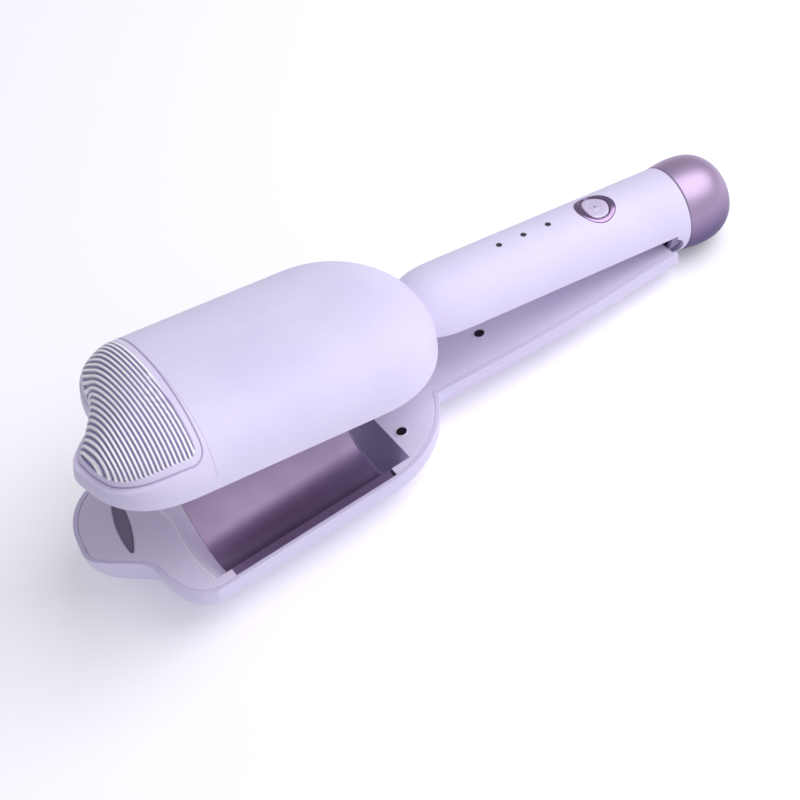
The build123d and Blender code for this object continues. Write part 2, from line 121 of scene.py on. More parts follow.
def piece(name, points, faces, material, body, slot, painted_shading=None):
    """Makes a mesh object at the origin from handle points and faces, and gives it its finish and body.
    The last argument gives one number for each point: painted shade above zero, in a hollow, and a painted
    highlight below zero."""
    mesh = bpy.data.meshes.new(name)
    mesh.from_pydata(on_table(points).tolist(), [], faces if isinstance(faces, list) else faces.tolist())
    solid = bmesh.new()
    solid.from_mesh(mesh)
    if solid.calc_volume(signed=True) < 0:
        mesh.flip_normals()
    solid.free()
    mesh.polygons.foreach_set("use_smooth", [True] * len(mesh.polygons))
    mesh.materials.append(material)
    if painted_shading is not None:
        mesh.attributes.new("hollow", "FLOAT", "POINT").data.foreach_set("value", painted_shading)
    made = in_scene(name, mesh)
    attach(made, body)
    print(name, len(points), "points", len(mesh.polygons), "faces")
    return made


print("a grid of 3 by 4 points has", len(grid_faces(3, 4)), "faces")

# %% [markdown]
# ## Colour and node helpers
# Makers give colours as sRGB hex codes, and Blender's shaders want linear values, so one function turns
# the first into the second. Pattern sizes are given in millimetres: a noise texture with scale 1000
# divided by that size repeats at about that size, because Blender counts in metres. One function adds a
# shader node with its settings and links, and the others use it for a noise, for a range that is stretched
# to another range, for a mix of two colours, and for the relief of a surface with its rounded edges.

# %% Material helpers
def linear(code):
    """Linear RGBA of an sRGB hex colour."""
    part = np.array([int(code[i:i + 2], 16) for i in (1, 3, 5)]) / 255
    value = np.where(part <= 0.04045, part / 12.92, ((part + 0.055) / 1.055) ** 2.4)
    return (*value.tolist(), 1.0)


def every_mm(size):
    """Texture scale of a pattern that repeats at about this size."""
    return 1000 / size


def add(tree, kind, inputs, **settings):
    """Adds a node. An input is a number, a colour, or another node's output to link."""
    made = tree.nodes.new(kind)
    for key, value in settings.items():
        setattr(made, key, value)
    for key, value in inputs.items():
        if isinstance(value, bpy.types.NodeSocket):
            tree.links.new(value, made.inputs[key])
        else:
            made.inputs[key].default_value = value
    return made


def blank(name):
    """A new material with its tree, a shader, and the object's own coordinates."""
    material = bpy.data.materials.new(name)
    material.use_nodes = True
    tree = material.node_tree
    shader = tree.nodes["Principled BSDF"]
    place = add(tree, "ShaderNodeTexCoord", {}).outputs["Object"]
    return material, tree, shader, place


def noise(tree, vector, scale, detail):
    """The value of a noise pattern."""
    settings = {"Vector": vector, "Scale": scale, "Detail": detail}
    return add(tree, "ShaderNodeTexNoise", settings).outputs["Fac"]


def spread(tree, value, low, high, first=0.3, last=0.7, **settings):
    """A value's range stretched to another. Most of a noise pattern lies between 0.3 and 0.7."""
    limits = {"Value": value, "From Min": first, "From Max": last, "To Min": low, "To Max": high}
    return add(tree, "ShaderNodeMapRange", limits, **settings).outputs["Result"]


def blended(tree, share, first, second):
    """Mix of two colours."""
    mix = add(tree, "ShaderNodeMix", {}, data_type="RGBA")
    for socket, value in zip((mix.inputs[0], mix.inputs[6], mix.inputs[7]), (share, first, second)):
        if isinstance(value, bpy.types.NodeSocket):
            tree.links.new(value, socket)
        else:
            socket.default_value = value
    return mix.outputs[2]


def relief(tree, shader, pattern, depth_mm, edge_mm, samples):
    """Presses a pattern into the surface and rounds its edges. Returns the rounded surface's direction."""
    rounded = add(tree, "ShaderNodeBevel", {"Radius": edge_mm / 1000}, samples=samples).outputs["Normal"]
    bump = {"Height": pattern, "Distance": depth_mm / 1000, "Normal": rounded}
    tree.links.new(add(tree, "ShaderNodeBump", bump).outputs["Normal"], shader.inputs["Normal"])
    return rounded


print("mid grey in linear values", round(linear("#808080")[0], 3))

# %% [markdown]
# ## Moulded plastic
# The body is ABS, moulded in a tool whose steel was spark eroded to a fine matte. The eye sees a soft,
# almost powdery lavender, a little cooler or warmer from place to place where the pigment flowed, with
# no mirror in it. The grain is about 0.2 mm on the real thing, too fine for a picture, so it is drawn
# at 0.7 mm and kept very shallow. Sharp moulded edges are a few tenths of a millimetre round, which
# the Bevel node gives without new faces, and handling rubs those edges slightly lighter.

# %% Moulded plastic
FLOW_MM, SPECK_MM, SPECK_SHARE = 38.0, 1.6, 0.22
RUBBED_COSINES, RUBBED_SHARE, RUBBED_TONE = (0.97, 0.80), 0.35, "#F4F0FC"


def moulded(name, tone, shade, grain_mm=0.7, depth_mm=0.012, edge_mm=0.35, matte=(0.42, 0.54), ior=1.53):
    """Matte moulded plastic: flow clouds, specks, grain, and rubbed edges. An edge is where the cosine
    between the rounded and the flat surface's direction falls."""
    material, tree, shader, place = blank(name)
    flow = noise(tree, place, every_mm(FLOW_MM), 3.0)
    speck = noise(tree, place, every_mm(SPECK_MM), 2.0)
    grain = noise(tree, place, every_mm(grain_mm), 4.0)
    clouds = blended(tree, spread(tree, flow, 0.0, 1.0), linear(tone), linear(shade))
    specked = blended(tree, spread(tree, speck, 0.0, SPECK_SHARE), clouds, linear(shade))
    rounded = relief(tree, shader, grain, depth_mm, edge_mm, 6)
    flat = add(tree, "ShaderNodeNewGeometry", {}).outputs["Normal"]
    both = {0: rounded, 1: flat}
    cosine = add(tree, "ShaderNodeVectorMath", both, operation="DOT_PRODUCT").outputs["Value"]
    wear_and_highlight = spread(tree, cosine, 0.0, RUBBED_SHARE, *RUBBED_COSINES)
    tree.links.new(blended(tree, wear_and_highlight, specked, linear(RUBBED_TONE)), shader.inputs["Base Color"])
    tree.links.new(spread(tree, grain, *matte), shader.inputs["Roughness"])
    shader.inputs["IOR"].default_value = ior
    return material


lavender_abs = moulded("spark eroded lavender ABS", "#D8D2EB", "#D1CAE6", matte=(0.50, 0.62))
cover_abs = moulded("spark eroded pale mauve ABS", "#E2DAF0", "#DBD2E9")
grip_silicone = moulded(
    "cast lavender silicone", "#DBD4ED", "#D4CCE8", grain_mm=0.5, matte=(0.36, 0.46), ior=1.43)
black_nylon = moulded("glass filled black nylon", "#3A3344", "#2B2633", grain_mm=0.5, depth_mm=0.03)
# The grey nylon of the hinge parts also serves as painted shade on the end walls behind the plates.
grey_nylon_and_ramp_shade = moulded("glass filled grey nylon", "#9A90B3", "#8B81A5", grain_mm=0.5, depth_mm=0.03)
print("moulded plastics ready")

# %% [markdown]
# ## Metals
# The plates are aluminium with a sprayed, baked titanium-violet coating. It is satin, slightly streaked
# along the press direction, and it keeps the colour of the metal in its reflections. The cap carries a
# smoother, vacuum-metallised lacquer, and the key's ring is polished, plated zinc. Screws, spring and hinge
# are plain metals. One function serves all: fine streaks in the roughness, a soft colour drift, and a
# shallow bump.
# The lacquer over the cap's metal film scatters part of the light, so the cap is not wholly metallic. Its
# colour carries painted shade: pale on top and a deeper purple towards the underside.

# %% Metals
DRIFT_MM, COAT_DEPTH_MM, LACQUER_METALLIC = 22.0, 0.0006, 0.7


def metal(name, tone, shade, rough=(0.25, 0.35), streak_mm=(14.0, 0.5), depth_mm=0.002, edge_mm=0.25):
    """Metal with streaks, whose sizes are given along X and across it."""
    material, tree, shader, place = blank(name)
    drift = noise(tree, place, every_mm(DRIFT_MM), 2.0)
    along, across = every_mm(streak_mm[0]), every_mm(streak_mm[1])
    squeezed = add(tree, "ShaderNodeMapping", {"Vector": place, "Scale": (along, across, across)})
    streak = noise(tree, squeezed.outputs["Vector"], 1.0, 4.0)
    tones = blended(tree, spread(tree, drift, 0.0, 1.0), linear(tone), linear(shade))
    tree.links.new(tones, shader.inputs["Base Color"])
    tree.links.new(spread(tree, streak, *rough), shader.inputs["Roughness"])
    relief(tree, shader, streak, depth_mm, edge_mm, 4)
    shader.inputs["Metallic"].default_value = 1.0
    return material


plate_coating = metal(
    "baked violet titanium coating", "#B2A0BD", "#A593AF", rough=(0.36, 0.42), depth_mm=COAT_DEPTH_MM)
cap_lacquer = metal(
    "vacuum metallised mauve lacquer", "#AE9AB8", "#A490B0", rough=(0.38, 0.44), depth_mm=COAT_DEPTH_MM)
ring_lacquer = metal(
    "polished mauve plated zinc", "#9C86A8", "#8C7699", rough=(0.16, 0.24), depth_mm=COAT_DEPTH_MM)
zinc_steel = metal("zinc plated steel", "#B9BABD", "#A9ABB0", rough=(0.22, 0.36), streak_mm=(1.0, 1.0))
black_oxide = metal("black oxide steel", "#3B373F", "#2F2B33", rough=(0.35, 0.5), streak_mm=(1.0, 1.0))
spring_steel = metal("oiled spring steel", "#8C8E92", "#7C7E83", rough=(0.25, 0.4), streak_mm=(3.0, 0.3))
brass = metal("turned brass", "#C9A45A", "#B8924A", rough=(0.2, 0.3), streak_mm=(0.4, 4.0))


def paint_underside_shade(material, tone, low_mm, high_mm):
    """Paints shade into a metal: mixes a deeper tone into it towards its underside, between two heights
    above the table, and makes it as metallic as a lacquer is."""
    tree = material.node_tree
    shader = tree.nodes["Principled BSDF"]
    clean = shader.inputs["Base Color"].links[0].from_socket
    place = add(tree, "ShaderNodeTexCoord", {}).outputs["Object"]
    height = add(tree, "ShaderNodeSeparateXYZ", {"Vector": place}).outputs["Z"]
    share = spread(tree, height, 0.0, 1.0, high_mm / 1000, low_mm / 1000, interpolation_type="SMOOTHSTEP")
    tree.links.new(blended(tree, share, clean, linear(tone)), shader.inputs["Base Color"])
    shader.inputs["Metallic"].default_value = LACQUER_METALLIC


# Painted shade: the cap's colour deepens towards its underside.
paint_underside_shade(cap_lacquer, "#48366F", 10.0, 33.0)
print("metals ready")

# %% [markdown]
# ## The other materials inside
# The heater is white alumina, its insulating sheet amber polyimide, the circuit board green glass
# laminate, and the key and lamps are clear polycarbonate with a frosted face.

# %% Inner materials and clear plastic
alumina = moulded("sintered alumina", "#E9E6DF", "#DDD8CE", grain_mm=0.4, matte=(0.5, 0.65), ior=1.76)
polyimide = moulded("amber polyimide film", "#C98A2E", "#B87A26", grain_mm=1.2, matte=(0.25, 0.35), ior=1.7)
laminate = moulded("green glass laminate", "#1F6B3E", "#185A33", grain_mm=0.6, matte=(0.3, 0.42), ior=1.55)
SCATTER_MM, FROSTED_COAT = 1.5, 0.3


def frosted(name, tone, shade, glow):
    """Frosted clear plastic: light passes and scatters just under the surface."""
    material = moulded(name, tone, shade, grain_mm=0.5, depth_mm=0.006, matte=(0.24, 0.34), ior=1.585)
    shader = material.node_tree.nodes["Principled BSDF"]
    shader.inputs["Subsurface Weight"].default_value = glow
    shader.inputs["Subsurface Scale"].default_value = SCATTER_MM / 1000
    shader.inputs["Coat Weight"].default_value = FROSTED_COAT
    return material


key_polycarbonate = frosted("frosted polycarbonate", "#C9C0DA", "#BEB4D1", 0.3)
smoked_polycarbonate = frosted("smoked polycarbonate", "#241E2B", "#1B1621", 0.05)
print("inner materials ready")

# %% [markdown]
# ## Finishes for the CAD parts
# The CAD meshes keep their shape. Each gets the material of its real part.

# %% Materials on CAD parts
FINISHES = {
    "handle_shell": lavender_abs, "lower_shell": lavender_abs, "tip_grip_pad": grip_silicone,
    "upper_tip_cover": cover_abs, "lower_tip_cover": cover_abs,
    "handle_cover": cover_abs, "lower_arm_cover": cover_abs,
    "upper_plate": plate_coating, "lower_plate": plate_coating, "end_cap": cap_lacquer,
    "power_key_ring": ring_lacquer, "power_key": key_polycarbonate, "indicator_lights": smoked_polycarbonate,
    "upper_plate_rails": black_nylon, "lower_plate_rails": black_nylon, "tact_switch": black_nylon,
    "cord_inlet": black_nylon, "hinge_arm": grey_nylon_and_ramp_shade,
    "hinge_bracket": zinc_steel, "hinge_pin": zinc_steel,
    "upper_cover_screws": black_oxide, "lower_cover_screws": black_oxide, "hinge_bushes": brass,
    "torsion_spring": spring_steel, "circuit_board": laminate,
}
for side in ("upper_", "lower_"):
    FINISHES[side + "heater"] = alumina
    FINISHES[side + "insulating_sheet"] = polyimide
    FINISHES[side + "heater_clip"] = spring_steel
    FINISHES[side + "thermal_fuse"] = zinc_steel
    FINISHES[side + "temperature_sensor"] = alumina
for name, part in nodes.items():
    part.data.materials.clear()
    part.data.materials.append(FINISHES[name])
print(len(FINISHES), "parts have their finish")

# %% [markdown]
# ## Painted shade on the end walls behind the plates
# Behind each plate a sloping wall closes the wave. In the CAD model it belongs to the cover. It faces away
# from the light, and its shade is painted: the faces whose centre lies between the end of the plate and the
# flat cover, seen along the jaw's own rim, take the darker grey nylon as the cover's second material.
#
# The lower jaw is drawn level and closed, with its rim at zero, and one function carries it to its open
# place. What both jaws have is drawn once, on the lower jaw, and turned over for the upper one.

# %% Handle axes and jaw axes of any place
RAMP_X, RAMP_HALF_Y = (-169.7, -160.4), 37.95
HINGE_MM, GAP_MM = np.array([9.0, 0.0, -8.0]), 4.2
OPEN_MATRIX = about_y(-10.75)


def off_table(points):
    """The way back from the table to handle millimetres."""
    return (np.asarray(points) * 1000 - SHIFT_MM) @ TILT_MATRIX


def lower_jaw(points):
    """Places on the level lower jaw, carried to its open place in handle millimetres."""
    return (np.asarray(points) - [0, 0, GAP_MM] - HINGE_MM) @ OPEN_MATRIX.T + HINGE_MM


def along_jaw(points):
    """The way back from the open place to the lower jaw's own rim."""
    return (np.asarray(points) - HINGE_MM) @ OPEN_MATRIX + HINGE_MM + [0, 0, GAP_MM]


def on_jaw(points, lower):
    """Places on the level lower jaw, carried to its open place or turned over for the upper jaw."""
    return lower_jaw(points) if lower else points * [1, -1, -1]


def paint_ramp_shade(part, lower):
    """Painted shade: the darker grey nylon as a second material on the faces of the sloping wall behind the
    plate.
    """
    mesh = part.data
    mesh.materials.append(grey_nylon_and_ramp_shade)
    centres = np.empty(3 * len(mesh.polygons))
    mesh.polygons.foreach_get("center", centres)
    place = off_table(centres.reshape(-1, 3))
    x, y = (along_jaw(place) if lower else place)[:, :2].T
    ramp = (x > RAMP_X[0]) & (x < RAMP_X[1]) & (np.abs(y) < RAMP_HALF_Y)
    mesh.polygons.foreach_set("material_index", ramp.astype(np.int32))
    print(part.name, int(ramp.sum()), "faces of", len(ramp), "are the end wall")


# Painted shade on the end walls of both jaws.
paint_ramp_shade(nodes["handle_cover"], False)
paint_ramp_shade(nodes["lower_arm_cover"], True)

# %% [markdown]
# ## The dome of a jaw
# Each jaw is a dome over an outline: two straight sides 88 mm apart, and a nose with a long and a short
# lobe. Higher up, the outline shrinks to a share of its size. Share and level follow a superellipse: share
# to the 2.4 plus level to the 2.4 makes one. The dent between the lobes fades as the dome rises, so the
# outline itself also changes with the level.

# %% Dome of the upper jaw
JAW_HALF, NOSE_X, DOME_POWER, NOSE_POWER = 44.0, -252.0, 2.4, 2.8
NOSE_SHORT, NOSE_LONG, NOSE_STEP_Y, NOSE_STEP = 20.5, 39.6, -17.0, 26.0
SMOOTH_WAVES, LOBES_FADE = (34.8, 11.6, 2.2), (0.22, 0.7)
UPPER_DEPTH = 28.8


def smooth(low, high, value):
    """Zero below low, one above high, and a smooth rise between."""
    t = np.clip((value - low) / (high - low), 0, 1)
    return t * t * (3 - 2 * t)


def superellipse(share, power):
    """The second share of a superellipse from the first: both, to the power, make one."""
    return np.clip(1 - np.abs(share) ** power, 0, 1) ** (1 / power)


def lobe_length(y):
    """Length of the nose on the lower jaw before its corners are rounded: short, then long."""
    return NOSE_SHORT + (NOSE_LONG - NOSE_SHORT) * smooth(NOSE_STEP_Y, NOSE_STEP_Y + NOSE_STEP, y)


def nose_reach(y, level):
    """Reach of the upper nose ahead of its base line: lobed at the rim, three soft waves near the top."""
    lobed = lobe_length(-y) * superellipse(y / JAW_HALF, NOSE_POWER)
    angle = np.arccos(np.clip(-y / JAW_HALF, -1, 1))
    soft = sum(size * np.sin((i + 1) * angle) for i, size in enumerate(SMOOTH_WAVES))
    fade = smooth(*LOBES_FADE, level)
    return lobed * (1 - fade) + soft * fade


print("reach of the nose at its middle", nose_reach(np.array([0.0]), 0.0))

# %% [markdown]
# ## The ribbed grip pad
# The upper nose carries a soft pad with ribs across it, to pinch without slipping or burning a finger.
# A displacement texture could draw ribs, but would leave the mesh flat. Here the ribs are in the mesh.
# Lines of constant Y run from the rear seam over the dome and down its front. Seen from above the ribs are
# evenly spaced and bow slightly forward in the middle. A flat band with rounded corners frames them,
# outside it a fine groove marks the seam, and below that the pad steps out to a narrow ledge. The seam has
# a straight line at the rear and a low line along the sides, which falls towards the front.
# How deep each point lies is kept with the mesh, for painted shade in the grooves and the hollows between
# the ribs, and for a painted highlight, paler than the rest, on the tops of the ribs and on the lip of each
# nose cover. The highlight has a value below zero.

# %% Grip pad
PAD_ROWS, FLAT_ROWS, PAD_COLUMNS = 320, 26, 210
PAD_REAR_X, PAD_LOW_Z, PAD_THICK, PAD_SIDE = -248.0, 6.0, 3.4, 0.9999
SEAM_X, SEAM_SKEW, SEAM_CORNER = -248.5, 0.045, 6.0
SEAM_Z, SEAM_FALL, SEAM_FALL_X, SEAM_LOWEST = 13.3, 0.0067, -256.8, 1.4
SEAM_SIDE_FALL, SEAM_SIDE_Y = 6.0, (-14.0, 12.0)
BAND, BAND_EDGE, RIB_PITCH, RIB_HEIGHT, RIB_BOW, RIB_SLOPE = 2.6, 0.5, 1.83, 0.65, 0.67, (-0.3, 0.45)
GROOVE_HALF, GROOVE_DEPTH, GROOVE_SHADE = 0.3, 0.4, 0.8
LEDGE_IN, LEDGE_WIDTH, LEDGE_AHEAD, LEDGE_SIDE_Y, LEDGE_SIDE_LOSS = 2.0, 1.5, (4.0, 36.0), (-6.0, 16.0), 0.8


def pad_base():
    """Columns of constant Y, from the seam to the low edge. Up to the base line of the nose the height is
    that of the straight dome. Ahead of it the rows go down level by level: X is the base line less the
    level's share times the reach of its outline at Y over that share."""
    low = PAD_LOW_Z / UPPER_DEPTH
    half = JAW_HALF * superellipse(low, DOME_POWER) * PAD_SIDE
    y = half * np.sin(np.linspace(-1, 1, PAD_COLUMNS) * math.pi / 2)
    top = superellipse(y / JAW_HALF, DOME_POWER)
    level = low + (top - low) * np.cos(np.linspace(0, 1, PAD_ROWS - FLAT_ROWS) * math.pi / 2)[:, None]
    share = np.maximum(superellipse(level, DOME_POWER), 1e-9)
    front = NOSE_X - share * nose_reach(np.clip(y / share, -JAW_HALF, JAW_HALF), level)
    rear = np.linspace(PAD_REAR_X, NOSE_X, FLAT_ROWS, endpoint=False)[:, None] + 0 * y
    x = np.concatenate([rear, front])
    z = UPPER_DEPTH * np.concatenate([top + 0 * rear, level])
    return np.stack([x, np.broadcast_to(y, x.shape), z], axis=2)


def surface_normals(points):
    """Unit normals of a grid, from the cross product of its row and column directions."""
    return unit(np.cross(np.gradient(points, axis=0), np.gradient(points, axis=1)))


def within_seam(x, y, z):
    """Distance inside the seam: to its rear line or its falling low line, with an arc between them. Also
    returns the height over the low line."""
    behind = SEAM_X - SEAM_SKEW * np.maximum(-y, 0) - x
    fall = SEAM_FALL * np.maximum(SEAM_FALL_X - x, 0) ** 2 + SEAM_SIDE_FALL * smooth(*SEAM_SIDE_Y, y)
    over = z - np.maximum(SEAM_Z - fall, PAD_LOW_Z + SEAM_LOWEST)
    short = np.hypot(np.maximum(SEAM_CORNER - behind, 0), np.maximum(SEAM_CORNER - over, 0))
    return SEAM_CORNER - short, over


def pad_relief(x, y, z):
    """How far each point stands out, and its painted shading: painted shade in the hollows and the groove,
    and a painted highlight, below zero, on the tops of the ribs. Above the low ledge the surface steps in,
    the groove is a bell curve about the seam, and the ribs are a cosine of the way ahead, with steeper
    sides."""
    inside, over = within_seam(x, y, z)
    ahead = PAD_REAR_X - x
    inset = LEDGE_IN * smooth(*LEDGE_AHEAD, ahead) * (1 - LEDGE_SIDE_LOSS * smooth(*LEDGE_SIDE_Y, y))
    step_in = inset * smooth(-LEDGE_WIDTH - GROOVE_HALF, -GROOVE_HALF, over)
    groove = np.exp(-(inside / GROOVE_HALF) ** 2)
    ribbed = smooth(BAND, BAND + BAND_EDGE, inside)
    phase = np.cos(2 * math.pi * (ahead - RIB_BOW * (y / JAW_HALF) ** 2) / RIB_PITCH)
    hollow = ribbed * (1 - smooth(*RIB_SLOPE, phase))
    rise = -step_in - GROOVE_DEPTH * groove - RIB_HEIGHT * hollow
    # Painted shade in the rib hollows and the groove, and a painted highlight, below zero, on the rib tops.
    return rise[..., None], np.maximum(hollow, GROOVE_SHADE * groove) - ribbed * (1 - hollow)


def paint_shade_and_highlight(material, shade_tone, highlight_tone):
    """Paints shade with one tone where a material's mesh has hollows, and a highlight with another where the
    mesh's value is below zero.
    """
    tree = material.node_tree
    shader = tree.nodes["Principled BSDF"]
    clean = shader.inputs["Base Color"].links[0].from_socket
    deep = add(tree, "ShaderNodeAttribute", {}, attribute_name="hollow").outputs["Fac"]
    # Painted highlight where the value is below zero.
    wear_and_highlight = add(tree, "ShaderNodeMath", {0: deep, 1: -1.0}, operation="MULTIPLY").outputs["Value"]
    pale = blended(tree, wear_and_highlight, clean, linear(highlight_tone))
    tree.links.new(blended(tree, deep, pale, linear(shade_tone)), shader.inputs["Base Color"])


# Painted shade in the grooves, and a white painted highlight on the tops of the ribs.
paint_shade_and_highlight(grip_silicone, "#8C82A9", "#FFFFFF")
base = pad_base()
normal = surface_normals(base)
normal *= np.sign(normal[..., 2:3].mean())
rise, pad_shading = pad_relief(*np.moveaxis(base, 2, 0))
points, faces = walled(base + normal * rise, base - normal * PAD_THICK)
painted_shading = np.tile(pad_shading.ravel(), 2)
pad = piece("ribbed_grip_pad", points, faces, grip_silicone, "handle", "lavender_plastic", painted_shading=painted_shading)
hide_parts("tip_grip_pad")

# %% [markdown]
# ## The wave, and the covers of the noses
# Seen from the end, each hot plate is a wave: a trough and a crest of the same radius, joined by a straight
# flank. In front of it a pale cover closes the nose. From the plate the cover runs out of the wave into a
# flat, over a rounded lip that curves in plan, and it has a leaf-shaped recess. Each place along X and Y has
# one height. The same cover, turned over, closes the nose of the upper jaw.

# %% Nose covers
WAVE_R, WAVE_CENTRE_Y, WAVE_RISE, WAVE_HALF = 18.0, 20.5, 4.5, 37.9
RIM_INSET, COVER_T, COVER_SIDE = 1.9, 1.6, 0.9995
COVER_ROWS, COVER_COLUMNS = 160, 210
PLATE_EDGE_X, LIP_X, LIP_BOW, LIP_MIDDLE, RAMP_BEND = -247.4, -256.6, 0.0052, 23.0, 0.35
BEAD, BEAD_AHEAD, BEAD_END = 0.45, 0.2, 1.5
STEP_DEPTH, STEP_WIDTH = 0.4, 0.6
LEAF_Y, LEAF_X, LEAF_SLANT, LEAF_HALF, LEAF_DEPTH = (-3.2, 31.8), -274.9, 0.24, 3.2, 1.9
LEAF_POWER, LEAF_WALL, LEAF_END, LEAF_SHADE = 0.7, (-0.3, 0.4), 0.02, 0.85


def wave_height(y):
    """Height of the wave: the lower circle left of the flank, the flank's straight line, the upper circle
    right of it, and level outside the wave."""
    span = math.hypot(WAVE_CENTRE_Y, WAVE_RISE)
    lean = math.asin(WAVE_R / span) - math.atan2(WAVE_RISE, WAVE_CENTRE_Y)
    meet = WAVE_CENTRE_Y - WAVE_R * math.sin(lean)
    away = np.clip(np.abs(y), meet, WAVE_HALF) - WAVE_CENTRE_Y
    arc = np.sqrt(WAVE_R ** 2 - away ** 2) - WAVE_RISE
    height = np.where(np.abs(y) < meet, np.abs(y) * math.tan(lean), arc)
    return np.where(np.abs(y) > WAVE_HALF, 0.0, np.sign(y) * height)


def rim_reach(y, inset):
    """Reach of the nose outline of the lower jaw, drawn in by an inset."""
    return (lobe_length(y) - inset) * superellipse(y / (JAW_HALF - inset), NOSE_POWER)


def leaf_shape(x, y):
    """One in the leaf and zero outside it. Its half width is a power of the sine of the way along it."""
    along = np.clip((y - LEAF_Y[0]) / (LEAF_Y[1] - LEAF_Y[0]), 0, 1)
    half = LEAF_HALF * np.sin(math.pi * along) ** LEAF_POWER
    off = np.abs(x - LEAF_X - LEAF_SLANT * (y - LEAF_Y[0]))
    return smooth(*LEAF_WALL, half - off) * smooth(0, LEAF_END, along) * smooth(0, LEAF_END, 1 - along)


def nose_cover(name, lower, body, replaced):
    """Rows from the plate's edge to the rim, columns across. Height: the wave faded out towards the lip,
    less the leaf and a small step along the rim, and a bead along the lip."""
    side = JAW_HALF - RIM_INSET
    y = (side * np.sin(np.linspace(-1, 1, COVER_COLUMNS) * math.pi / 2) * COVER_SIDE)[None, :]
    t = np.linspace(0, 1, COVER_ROWS)[:, None]
    rim_x = NOSE_X - rim_reach(y, RIM_INSET)
    x = PLATE_EDGE_X + t * (rim_x - PLATE_EDGE_X)
    y = np.broadcast_to(y, x.shape)
    lip = LIP_X + LIP_BOW * (np.abs(y) - LIP_MIDDLE) ** 2
    out = np.clip((PLATE_EDGE_X - x) / (PLATE_EDGE_X - lip), 0, 1)
    ramp = wave_height(y) * (1 - out * (1 + RAMP_BEND - RAMP_BEND * out))
    leaf = leaf_shape(x, y)
    to_rim = np.minimum(x - rim_x, side - np.abs(y))
    step = STEP_DEPTH * (1 - smooth(0.0, STEP_WIDTH, to_rim))
    bead_end = smooth(WAVE_HALF - BEAD_END, WAVE_HALF, np.abs(y))
    bead = np.exp(-((x - lip - BEAD_AHEAD) / BEAD) ** 2) * (1 - bead_end)
    outside = np.stack([x, y, ramp - LEAF_DEPTH * leaf - step + BEAD * bead], axis=2)
    points, faces = walled(outside, outside - [0, 0, COVER_T])
    # Painted shade in the leaf's recess, and a painted highlight on the bead along the lip.
    painted_shading = np.tile((LEAF_SHADE * leaf - bead).ravel(), 2)
    made = piece(name, on_jaw(points, lower), faces, cover_abs, body, "lavender_plastic", painted_shading=painted_shading)
    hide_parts(replaced)


# Tones for the nose covers: painted shade in the leaf, and a painted highlight on the lip's bead.
paint_shade_and_highlight(cover_abs, "#5F5572", "#F3EFFA")
nose_cover("lower_nose_cover", True, "lower_arm", "lower_tip_cover")
nose_cover("upper_nose_cover", False, "handle", "upper_tip_cover")

# %% [markdown]
# ## Strips behind the plates, and cheeks in the hinge
# A heat-proof strip fills the gap between the rear end of each plate and its end wall, following the wave.
# In the two notches of the ring, curved cheeks close the view into the hinge.

# %% Strips and cheeks
STRIP_X, STRIP_T, STRIP_BELOW, STRIP_COLUMNS = (-171.2, -169.3), 1.5, 0.06, 220
CHEEK_X, CHEEK_R, CHEEK_WALL, CHEEK_ANGLES = (-8.6, -0.3), 17.1, 1.4, (-46.0, 4.0)
CHEEK_ROWS, CHEEK_COLUMNS = 8, 40


def rear_strip(name, lower, body):
    """A short length of the wave, a hair below the plate."""
    x, y = np.meshgrid(STRIP_X, np.linspace(-WAVE_HALF, WAVE_HALF, STRIP_COLUMNS), indexing="ij")
    outside = np.stack([x, y, wave_height(y) - STRIP_BELOW], axis=2)
    points, faces = walled(outside, outside - [0, 0, STRIP_T])
    piece(name, on_jaw(points, lower), faces, grey_nylon_and_ramp_shade, body, "dark_plastic")


def cheek(name, side):
    """Part of a tube about the handle axis: Y is the radius times the cosine, Z times the sine."""
    places = np.linspace(*CHEEK_X, CHEEK_ROWS)
    angles = np.radians(np.linspace(*CHEEK_ANGLES, CHEEK_COLUMNS))
    x, angle = np.meshgrid(places, angles, indexing="ij")
    outside, inside = (np.stack([x, side * radius * np.cos(angle), radius * np.sin(angle)], axis=2)
                       for radius in (CHEEK_R, CHEEK_R - CHEEK_WALL))
    piece(name, *walled(outside, inside), grey_nylon_and_ramp_shade, "handle", "dark_plastic")


rear_strip("lower_rear_strip", True, "lower_arm")
rear_strip("upper_rear_strip", False, "handle")
cheek("near_hinge_cheek", -1)
cheek("far_hinge_cheek", 1)

# %% [markdown]
# ## Turned pieces
# The end cap and the cord's bush are round about the handle axis. A closed profile of places and radii,
# carried once round the axis, makes the wall with its outside, its rim and its inside in one surface.

# %% End cap and cord bush
CAP_NECK_X, CAP_NECK_R, CAP_NECK_WALL, CAP_NECK_ROWS = 0.2, 19.1, 0.6, 14
CAP_WIDEST, CAP_R, CAP_DOME, CAP_POWER, CAP_WALL, CAP_ROWS = 10.0, 20.0, 18.9, 2.5, 1.6, 60
CAP_HOLE_R, CAP_HOLE_EDGE, CAP_HOLE_AT = 4.7, 0.4, 0.99
BUSH = [
    (23.4, 2.6), (23.4, 7.2), (25.0, 7.2), (25.3, 6.9), (25.3, 4.3),
    (28.7, 4.3), (29.1, 3.9), (29.1, 3.0), (28.7, 2.6),
]


def turned(name, profile, material, body, slot, replaced, count=144):
    """A closed profile of places along X and radii, turned about the handle axis: Y is the radius times the
    cosine of the angle, and Z is the radius times its sine."""
    along, radius = np.array(profile, dtype=float).T[:, :, None]
    angle = np.linspace(0, 2 * math.pi, count, endpoint=False)[None, :]
    points = np.stack(np.broadcast_arrays(along, radius * np.cos(angle), radius * np.sin(angle)), axis=2)
    faces = grid_faces(len(profile), count, close_rows=True, close_columns=True)
    made = piece(name, points.reshape(-1, 3), faces, material, body, slot)
    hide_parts(replaced)


